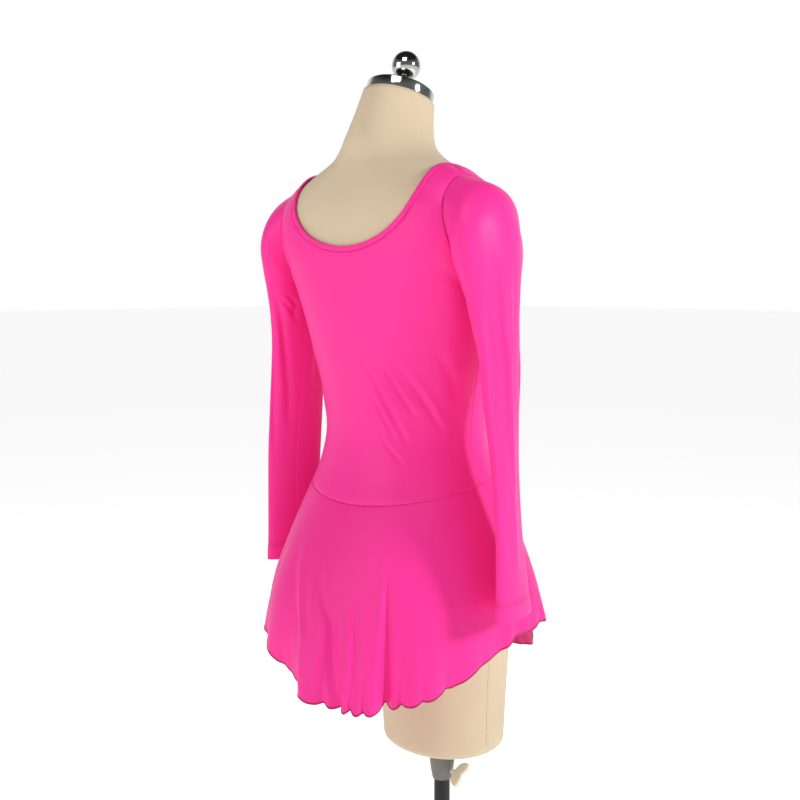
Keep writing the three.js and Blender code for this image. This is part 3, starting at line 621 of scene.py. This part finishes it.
# ---- skirt ----
skirt = {
    "half": 198, "front": 192, "back": 194, "rows": 130, "columns": 300, "perRadian": 180,
    "map": (190, 260), "stitchDip": {"place": 5.0, "deep": 0.45, "wide": 0.9},
    "levels": [(-180, 640), (-150, 656), (-120, 714), (-90, 731), (-45, 706), (-22, 672), (0, 648), (32, 645),
               (60, 672), (80, 704), (98, 728), (128, 726), (152, 655), (180, 640)],
    # folds: degrees from centre back, depth at the hem, half width in degrees, share of the length it climbs
    "folds": [(-168, 9, 11, 0.8), (-147, -10, 8, 0.7), (-126, 7, 10, 0.9), (-104, -9, 8, 0.65), (-82, 7, 10, 0.8),
              (-62, -8, 7, 0.6), (-47, 6, 6, 0.5), (-34, 4, 9, 0.9), (-13, -17, 8, 0.75), (3, 5, 6, 0.8),
              (14, -6, 5, 0.6), (27, 4, 6, 0.5), (39, -13, 5, 0.65), (53, 3, 7, 0.5), (64, -5, 6, 0.45),
              (84, -6, 9, 0.7),
              (114, 10, 13, 0.9), (134, -12, 8, 0.7), (155, 8, 9, 0.8), (176, -9, 8, 0.6)],
    "foldPower": 1.4,
    # slanting folds: (degrees, millimetres down from the seam)
    "perDegree": 3.3, "creaseLength": 250,
    "creases": [
        (-4.5, 10.0, [(-20, 80), (-12, 130), (-3.5, 178), (0.5, 300)]),
        (5.5, 10.0, [(-1, 85), (6, 125), (12, 150), (20, 300)]), (3.2, 6.0, [(22, 110), (25, 180), (27, 310)]),
        (6.5, 5.5, [(37, 70), (37.3, 180), (37.5, 320)]), (-2.5, 8.0, [(48, 150), (50, 220), (52, 320)]),
        (3.5, 9.0, [(-40, 90), (-46, 170), (-48, 310)]), (3.5, 9.0, [(150, 60), (146, 150), (149, 300)]),
        (3.5, 9.0, [(-160, 70), (-156, 160), (-158, 300)]), (3.0, 8.0, [(96, 60), (102, 140), (104, 260)]),
        (3.0, 8.0, [(-112, 60), (-108, 140), (-112, 260)]),
    ],
    # small waves of the rolled hem: degrees, half width, outward, downward
    "waves": [(4.5, 4.2, 4.0, 1.0), (10.6, 1.5, -4.5, -2.5), (14.5, 2.2, 4.5, 1.5), (18.2, 1.1, -3.5, -2.0),
              (21, 1.6, 4.5, 1.5), (23.6, 1.0, -4.5, -3.0), (26.4, 1.7, 5.0, 2.5), (29, 0.9, -3.5, -1.5),
              (32, 2.2, 5.0, 2.5), (36.6, 1.2, -6.0, -7.0), (40.4, 1.7, 5.0, 1.5), (43.6, 1.0, -3.5, -2.5),
              (47.5, 2.2, 4.0, 1.0), (51.4, 1.1, -3.0, -2.0), (55.5, 2.6, 3.5, 1.0), (61, 1.4, -3.0, -2.0),
              (68, 3.0, 2.2, 0.6), (76, 2.5, -1.8, -0.8), (-5, 2.4, -3.6, -3.0), (-12, 2.6, 2.5, 0.8),
              (-20, 2.2, -2.6, -1.5)],
    "wavePower": 7,
}


def skirtSurface(turn, share):
    seam = formSkin(turn, seamHeight(turn) - cloth["waistGap"] / 2, cloth["skin"])
    across, along = np.cos(turn), np.sin(turn)
    reach = np.where(along >= 0, skirt["back"], skirt["front"])
    edge = ((across / skirt["half"]) ** 2 + (along / reach) ** 2) ** -0.5
    flare = mix(np.sin(share * math.pi / 2), share, ease(-along))
    angle = backAngle(turn)
    hemZ = readTable(skirt["levels"], angle)[..., 0]
    out = np.zeros(angle.shape)
    drop = np.zeros(angle.shape)
    for place, depth, width, rise in skirt["folds"]:
        climb = np.clip((share - (1 - rise)) / rise, 0, 1)
        out = out + depth * climb ** skirt["foldPower"] * bell(angleFrom(angle, place), width)
    down = share * skirt["creaseLength"]
    out = out + creaseDepth(skirt["creases"], angle, down, skirt["perDegree"]) * ease(share * 4)
    edgeShare = share ** skirt["wavePower"]
    for place, width, outward, downward in skirt["waves"] + hiddenWaves:
        bump = bell(angleFrom(angle, place), width) * edgeShare
        out = out + outward * bump
        drop = drop + downward * bump
    fromSeam = share * (seam[..., 2] - hemZ)
    stitch = skirt["stitchDip"]
    out = out - bodice["seamDip"] * bell(fromSeam, bodice["dipWidth"])
    out = out - stitch["deep"] * bell(fromSeam - stitch["place"], stitch["wide"])
    x = mix(seam[..., 0], across * edge, flare) + across * out
    y = mix(seam[..., 1] - bodyMiddle, along * edge, flare) + bodyMiddle + along * out
    return np.stack([x, y, mix(seam[..., 2], hemZ, share) - drop], -1)


def wavesRound(start, end, seed):
    # uneven hem waves for the sides that the photograph hides
    random = np.random.default_rng(seed)
    waves, angle, outward = [], start, True
    while angle < end:
        width = random.uniform(1.6, 4.2)
        angle += 2.2 * width
        size = random.uniform(1.4, 3.2) * (1 if outward else -1)
        waves.append((angle, width, size, 0.5 * size))
        outward = not outward
    return waves


hiddenWaves = wavesRound(-178, -30, 5) + wavesRound(84, 176, 8)


def skirtPiece(name, start):
    gap = cloth["seamGap"] / 2 / skirt["perRadian"]
    wide, tall = skirt["map"]
    turn = np.linspace(start + gap, start + math.pi - gap, skirt["columns"])[None]
    share = np.linspace(1, 0, skirt["rows"])[:, None] * np.ones_like(turn)
    turn = turn * np.ones_like(share)
    grid = skirtSurface(turn, share)
    uv = np.stack([turn * wide, (1 - share) * tall], -1)
    return pieceFromGrids(name, [grid], [uv], satin, cloth["thick"]), grid


skirtBack, backSkirtGrid = skirtPiece("skirtBack", 0)
skirtFront, frontSkirtGrid = skirtPiece("skirtFront", math.pi)
print("skirt ready")

# ---- stitches and the rolled hem, made by Geometry Nodes along paths ----
stitchSizes = {"spacing": 2.4, "long": 1.9, "thick": 0.32, "slant": 0.0}
hemRoll = {"radius": 1.45, "sides": 10, "up": 0.3, "whipDown": 0.2,
           "whip": {"spacing": 1.5, "long": 2.9, "thick": 0.55, "slant": 1.1}}
cuffThread = {"out": 0.15, "stitch": {"spacing": 2.6, "long": 2.1, "thick": 0.6, "slant": 0.0}}


def pathObject(name, points, closed=False):
    curve = bpy.data.curves.new(name, "CURVE")
    curve.dimensions = "3D"
    line = curve.splines.new("POLY")
    line.points.add(len(points) - 1)
    flat = np.concatenate([np.asarray(points) * mm, np.ones((len(points), 1))], axis=1)
    line.points.foreach_set("co", flat.ravel())
    line.use_cyclic_u = closed
    return linked(name, curve)


def finishTree(tree, geometry, material, result):
    # every tree ends in real geometry with its material
    real = addNode(tree, "GeometryNodeRealizeInstances", {"Geometry": geometry}).outputs["Geometry"]
    finish = addNode(tree, "GeometryNodeSetMaterial", {"Geometry": real, "Material": material})
    setInputs(result, {0: finish.outputs["Geometry"]})
    return tree


def buildStitchTree():
    # short rods along a path, a little uneven in size
    tree, given, result = nodeGroup(
        "stitchRun",
        [("Path", "Geometry", None), ("Spacing", "Float", 0.0024), ("Length", "Float", 0.0019),
         ("Radius", "Float", 0.0002), ("Slant", "Float", 0.0), ("Seed", "Int", 3), ("Thread", "Material", None)],
        [("Stitches", "Geometry")], "GeometryNodeTree")
    points = addNode(tree, "GeometryNodeCurveToPoints", {"Curve": given["Path"], "Length": given["Spacing"]},
                     mode="LENGTH")
    stitch = addNode(tree, "GeometryNodeMeshCylinder", {"Vertices": 6, "Radius": given["Radius"],
                                                        "Depth": given["Length"]})
    lean = addNode(tree, "ShaderNodeCombineXYZ", {"X": given["Slant"]})
    turned = addNode(tree, "GeometryNodeTransform", {"Geometry": stitch.outputs["Mesh"], "Rotation": lean.outputs[0]})
    align = addNode(tree, "FunctionNodeAlignEulerToVector", {"Vector": points.outputs["Tangent"]}, axis="Z")
    uneven = addNode(tree, "FunctionNodeRandomValue", {"Seed": given["Seed"]}, data_type="FLOAT")
    floats = [socket for socket in uneven.inputs if socket.type == "VALUE"]
    floats[0].default_value, floats[1].default_value = 0.88, 1.06
    size = [socket for socket in uneven.outputs if socket.type == "VALUE"][0]
    place = addNode(tree, "GeometryNodeInstanceOnPoints", {
        "Points": points.outputs["Points"], "Instance": turned.outputs["Geometry"],
        "Rotation": align.outputs["Rotation"], "Scale": size,
    })
    return finishTree(tree, place.outputs["Instances"], given["Thread"], result)


def buildRollTree():
    # a round roll along a path
    tree, given, result = nodeGroup(
        "rolledEdge",
        [("Path", "Geometry", None), ("Radius", "Float", 0.0011), ("Sides", "Int", 10), ("Thread", "Material", None)],
        [("Roll", "Geometry")], "GeometryNodeTree")
    circle = addNode(tree, "GeometryNodeCurvePrimitiveCircle", {"Resolution": given["Sides"],
                                                                "Radius": given["Radius"]})
    sweep = addNode(tree, "GeometryNodeCurveToMesh", {"Curve": given["Path"],
                                                      "Profile Curve": circle.outputs["Curve"]})
    return finishTree(tree, sweep.outputs["Mesh"], given["Thread"], result)


stitchTree = buildStitchTree()
rollTree = buildRollTree()


def nodePiece(path, tree, material, values):
    # runs a tree on a path and keeps the plain mesh, with one material in its first slot
    change = path.modifiers.new(tree.name, "NODES")
    change.node_group = tree
    for item in tree.interface.items_tree:
        if item.in_out == "INPUT" and item.name != "Path":
            change[item.identifier] = material if item.name == "Thread" else values[item.name]
    piece = applied(path)
    mesh = piece.data
    mesh.materials.clear()
    mesh.materials.append(material)
    mesh.polygons.foreach_set("material_index", [0] * len(mesh.polygons))
    mesh.shade_smooth()
    return piece


def stitchPiece(name, points, material, closed=True, sizes=stitchSizes):
    return nodePiece(pathObject(name, points, closed), stitchTree, material, {
        "Spacing": sizes["spacing"] * mm, "Length": sizes["long"] * mm, "Radius": sizes["thick"] / 2 * mm,
        "Slant": sizes["slant"], "Seed": 3,
    })


def joined(name, parts, material):
    # several plain pieces as one object
    work = bmesh.new()
    for part in parts:
        work.from_mesh(part.data)
        bpy.data.objects.remove(part)
    return meshPiece(name, work, material)


def rolledHem(name, grid):
    down = unit(grid[0] - grid[1])
    path = grid[0] - down * hemRoll["up"]
    path = path - unit(np.cross(np.gradient(grid[0], axis=0), -down)) * (cloth["thick"] / 2)
    roll = nodePiece(pathObject(name + "Core", path), rollTree, thread,
                     {"Radius": hemRoll["radius"] * mm, "Sides": hemRoll["sides"]})
    whip = stitchPiece(name + "Whip", path + down * hemRoll["whipDown"], thread, False, hemRoll["whip"])
    return joined(name, [roll, whip], thread)


hemBack = rolledHem("hemBack", backSkirtGrid)
hemFront = rolledHem("hemFront", frontSkirtGrid)


def cuffStitches(name, grid):
    rows = []
    for away in sleeve["cuffStitch"]:
        ring = grid[int(np.argmin(np.abs(sleevePlace[-1] - sleevePlace - away)))]
        out = unit(ring - ring.mean(axis=0)) * cuffThread["out"]
        rows.append(stitchPiece(f"{name}{away:.0f}", ring + out, thread, True, cuffThread["stitch"]))
    return joined(name, rows, thread)


cuffStitchLeft = cuffStitches("cuffStitchLeft", leftGrid)
cuffStitchRight = cuffStitches("cuffStitchRight", rightGrid)
# one line of stitches where the band meets the bodice
neckLine = stitchPiece("neckStitches", neckRow(band["stitches"], bodice["bandWidth"] - band["stitchIn"],
                                               cloth["skin"] + band["proud"] * band["stitchOut"]), thread)
print("stitches ready")

# ---- dress form ----
trunk = {"floor": 508, "floorShare": 0.86, "bore": 13.2, "plate": (1180, 60, 1360, 22), "inset": 1.5, "around": 200,
         "rows": 190, "rounding": 9, "mapRound": 760,
         # the bore for the pole, from its closed end down: share of its radius, height
         "boreRings": [(0.02, 727.0), (1, 727.0), (1, 509.0), (1.08, 508.0)],
         # grooves: depth, degrees of half width at the sides, share and half width at the neck
         "sideSeams": (85, -85), "neckSeam": 1376, "groove": 0.7, "sideWidth": 0.8, "neckShare": 0.6,
         "neckWidth": 1.8, "seamSpan": (528, 700, 90), "stitchOut": 1.001,
         "stitch": {"spacing": 4.6, "long": 2.8, "thick": 0.7, "slant": 0.0}}


def trunkPiece():
    turn = np.linspace(0, 2 * math.pi, trunk["around"], endpoint=False)
    angle = backAngle(turn)
    low, lowFade, high, highFade = trunk["plate"]

    def ring(z):
        inset = trunk["inset"] * np.clip((z - low) / lowFade, 0, 1) * np.clip((high - z) / highFade, 0, 1)
        points = ringPoint(turn, np.full(len(turn), float(z)), inset)
        outward = unit((points - (0, points[:, 1].mean(), 0)) * (1, 1, 0))
        groove = sum(bell(angle - seam, trunk["sideWidth"]) for seam in trunk["sideSeams"])
        groove = groove + trunk["neckShare"] * bell(z - trunk["neckSeam"], trunk["neckWidth"])
        return points - outward * (trunk["groove"] * groove)[:, None]

    first = ring(formLevels[0][0])
    middle = np.array([0, formLevels[0][3], 0])

    bore = np.stack([trunk["bore"] * np.cos(turn), trunk["bore"] * np.sin(turn)], -1)
    rings = [np.column_stack([bore * share, np.full(len(turn), z)]) for share, z in trunk["boreRings"]]
    for quarter in np.linspace(0, math.pi / 2, trunk["rounding"]):
        points = mix(middle, first, mix(trunk["floorShare"], 1, math.sin(quarter)))
        points[:, 2] = mix(trunk["floor"], formLevels[0][0], 1 - math.cos(quarter))
        rings.append(points)
    rings += [ring(z) for z in np.linspace(formLevels[0][0], formLevels[-1][0], trunk["rows"])[1:]]
    top = rings[-1]
    centre = top.mean(axis=0)
    rings += [mix(centre, top, share) for share in (0.97, 0.5, 0.02)]
    grid = np.stack(rings)
    uv = roundMap(trunk["mapRound"], len(turn), grid[:, :, 2].mean(axis=1))
    return pieceFromGrids("formTrunk", [grid], [uv], linen, closed=True), ring, turn


formTrunk, trunkRing, trunkTurns = trunkPiece()
seamStitches = []
for seam in trunk["sideSeams"]:
    column = int(np.argmin(np.abs(backAngle(trunkTurns) - seam)))
    path = np.array([trunkRing(z)[column] for z in np.linspace(*trunk["seamSpan"])]) * (trunk["stitchOut"], 1, 1)
    seamStitches.append(stitchPiece(f"formSeam{seam}", path, linenThread, False, trunk["stitch"]))
formStitches = joined("formStitches", seamStitches, linenThread)

top = formLevels[-1]
capLean = math.atan(top[6])
capSeat = np.array([0, (top[2] + top[4]) / 2, top[0]])
capAxis = np.array([0, -math.sin(capLean), math.cos(capLean)])
cap = {"radius": 47, "thick": 16, "edge": 2, "gap": 0.4}
ball = {"radius": 20, "stem": 7, "stemHeight": 14}
neckCap = lathePiece("neckCap", [(0, 0), (cap["radius"], 0), (cap["radius"], cap["thick"] - cap["edge"]),
                                 (cap["radius"] - cap["edge"], cap["thick"]), (0, cap["thick"])],
                     steel, capSeat + capAxis * cap["gap"], capLean, 128)
ballMiddle = ball["stemHeight"] + math.sqrt(ball["radius"] ** 2 - ball["stem"] ** 2)
ballStart = math.asin(ball["stem"] / ball["radius"])
ballFinial = lathePiece(
    "ballFinial",
    [(0, 0), (ball["stem"], 0), (ball["stem"] * 0.86, 3)]
    + [(ball["radius"] * math.sin(a), ballMiddle - ball["radius"] * math.cos(a))
       for a in np.linspace(ballStart, math.pi, 40)],
    steel, capSeat + capAxis * (2 * cap["gap"] + cap["thick"]), capLean, 96, 0)
print("dress form ready")

# ---- stand ----
# profiles are (radius, height) in mm
collar = {"profile": [(12.8, 0), (14.5, 0), (17.5, 16), (19, 30), (19, 62), (12.8, 62), (12.8, 0)],
          "foot": trunk["floor"] - 0.4 - 62}
pole = {"profile": [(0, 14.4), (12, 14.4), (12, 726), (0, 726)]}
base = {"profile": [(0, 0), (157, 0), (165, 8), (157, 14), (0, 14)], "sides": 128, "bevel": 2}
hub = {"profile": [(12.4, 14.4), (24, 14.4), (19, 46), (12.4, 46), (12.4, 14.4)]}
collarPiece = lathePiece("collarRing", collar["profile"], greyPlastic, (0, 0, collar["foot"]))
poleTube = lathePiece("poleTube", pole["profile"], blackPaint)
baseDisc = lathePiece("baseDisc", base["profile"], blackPaint, sides=base["sides"], bevel=base["bevel"])
hubRing = lathePiece("hubRing", hub["profile"], blackPaint)

screw = {"stem": 7, "start": 18.4, "thick": 6, "tip": 38, "z": 461, "leafStart": 26, "leafEnd": 46, "half": 20,
         "tipStart": 42, "notch": 40,
         "round": 1.3}


def quadCurve(a, b, c, steps=10):
    t = np.linspace(0, 1, steps)[:, None]
    a, b, c = map(np.array, (a, b, c))
    return (1 - t) ** 2 * a + 2 * t * (1 - t) * b + t**2 * c


def wingScrewPiece():
    s = screw
    stem = s["stem"] / 2
    upper = np.concatenate([
        quadCurve((s["notch"], 0), (s["leafEnd"], s["half"] / 2), (s["tipStart"], s["half"])),
        quadCurve((s["tipStart"], s["half"]), (s["leafStart"], s["half"]), (s["leafStart"], stem))[1:],
        [(s["start"], stem)],
    ])
    lower = (upper * (1, -1))[::-1][:-1]
    outline = np.concatenate([upper, lower])
    work = bmesh.new()
    face = work.faces.new([work.verts.new((x * mm, y * mm, -s["thick"] / 2 * mm)) for x, y in outline])
    made = bmesh.ops.extrude_face_region(work, geom=[face])
    moved = [item for item in made["geom"] if isinstance(item, bmesh.types.BMVert)]
    bmesh.ops.translate(work, verts=moved, vec=(0, 0, s["thick"] * mm))
    bmesh.ops.recalc_face_normals(work, faces=work.faces)
    breakEdges(work, 50, s["round"], 4)
    bmesh.ops.triangulate(work, faces=work.faces)
    turn = Matrix.Rotation(math.pi, 4, "Z") @ Matrix.Rotation(math.radians(s["tip"]), 4, "X")
    work.transform(Matrix.Translation((0, 0, s["z"] * mm)) @ turn)
    return meshPiece("wingScrew", work, creamPlastic, 35)


wingScrew = wingScrewPiece()
print("stand ready")

# ---- what each piece rides on and stands for ----
clothPanels = [bodiceBack, bodiceFront, neckBand, sleeveLeft, sleeveRight, skirtBack, skirtFront]
dress = clothPanels + [hemBack, hemFront, cuffStitchLeft, cuffStitchRight, neckLine]
blackPieces = [poleTube, baseDisc, hubRing]
riding = {"form": dress + [formTrunk, formStitches, neckCap, ballFinial], "slider": [collarPiece],
          "screw": [wingScrew], "stand": blackPieces}
for body, pieces in riding.items():
    for piece in pieces:
        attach(piece, body)
for piece, node in [(bodiceBack, "bodice_back"), (bodiceFront, "bodice_front"), (neckBand, "neck_band"),
                    (sleeveLeft, "sleeve_left"), (sleeveRight, "sleeve_right"), (skirtBack, "skirt_back"),
                    (skirtFront, "skirt_front"), (formTrunk, "form_trunk"), (neckCap, "neck_cap"),
                    (ballFinial, "ball_finial"), (collarPiece, "collar"), (wingScrew, "wing_screw"),
                    (poleTube, "pole"), (baseDisc, "base"), (hubRing, "base_hub")]:
    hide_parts(node)


for piece in clothPanels:
    area = sum(face.area for face in piece.data.polygons) / 2  # half of a thin closed shell is the cloth's own
    print(piece.name, "area", round(area, 4), "triangles", 2 * len(piece.data.polygons))

# ---- camera, floor and light ----
view = {"place": (-1.1102, 1.1902, 1.2), "pitch": 6.16, "heading": 45.0, "lens": 50.0, "shift": -0.00625}
lens = bpy.data.cameras.new("photoCamera")
lens.lens = view["lens"]
lens.sensor_width = 36.0
lens.shift_x = view["shift"]
photoCamera = linked("photoCamera", lens)
heading, pitch = math.radians(view["heading"]), math.radians(view["pitch"])
looking = Vector((math.sin(heading) * math.cos(pitch), -math.cos(heading) * math.cos(pitch), -math.sin(pitch)))
photoCamera.location = view["place"]
photoCamera.rotation_euler = looking.to_track_quat("-Z", "Y").to_euler()
stage.camera = photoCamera

ground = {"reach": 40.0, "z": -0.0005, "paint": {
    "Base Color": (0.92, 0.92, 0.92, 1), "Roughness": 0.9, "Emission Color": (1, 1, 1, 1), "Emission Strength": 0.78,
}}
floorMaterial = bpy.data.materials.new("paleFloor")
floorMaterial.use_nodes = True
setInputs(floorMaterial.node_tree.nodes["Principled BSDF"], ground["paint"])
floorMesh = bpy.data.meshes.new("floor")
floorMesh.from_pydata([(x * ground["reach"], y * ground["reach"], ground["z"])
                       for x, y in ((-1, -1), (1, -1), (1, 1), (-1, 1))], [], [(0, 1, 2, 3)])
floorMesh.materials.append(floorMaterial)
linked("floor", floorMesh)

# a studio that is white behind the dress and dimmer overhead and on the camera's side
studio = {"white": 1.0, "dim": 0.17, "behind": (0.5, 1.15), "overhead": 0.12, "above": (0.4, 0.7)}
world = bpy.data.worlds.new("studio")
world.use_nodes = True
worldTree = world.node_tree


def mapped(value, between, start, end):
    return addNode(worldTree, "ShaderNodeMapRange", {
        "From Min": between[0], "From Max": between[1], "To Min": start, "To Max": end, "Value": value,
    }, interpolation_type="SMOOTHSTEP").outputs["Result"]


direction = worldTree.nodes.new("ShaderNodeTexCoord").outputs["Generated"]
axes = addNode(worldTree, "ShaderNodeSeparateXYZ", {0: direction}).outputs
facing = mathNode(worldTree, "SUBTRACT", axes["X"], axes["Y"])
behind = mapped(facing, studio["behind"], studio["dim"], studio["white"])
above = mapped(axes["Z"], studio["above"], 1.0, studio["overhead"])
setInputs(worldTree.nodes["Background"],
          {"Color": (1, 1, 1, 1), "Strength": mathNode(worldTree, "MULTIPLY", behind, above)})
stage.world = world

lamps = [
    {"name": "keyLight", "place": (-2.8, -0.75, 2.1), "size": 0.5, "power": 66},
    {"name": "fillLight", "place": (1.0, 3.1, 1.7), "size": 1.8, "power": 33},
    {"name": "topLight", "place": (-0.9, 1.6, 3.2), "size": 1.2, "power": 25},
]
for lamp in lamps:
    light = bpy.data.lights.new(lamp["name"], "AREA")
    light.energy = lamp["power"]
    light.size = lamp["size"]
    holder = linked(lamp["name"], light)
    holder.location = lamp["place"]
    holder.rotation_euler = (Vector((0, 0.08, 1.0)) - Vector(lamp["place"])).to_track_quat("-Z", "Y").to_euler()

stage.view_settings.view_transform = "Standard"
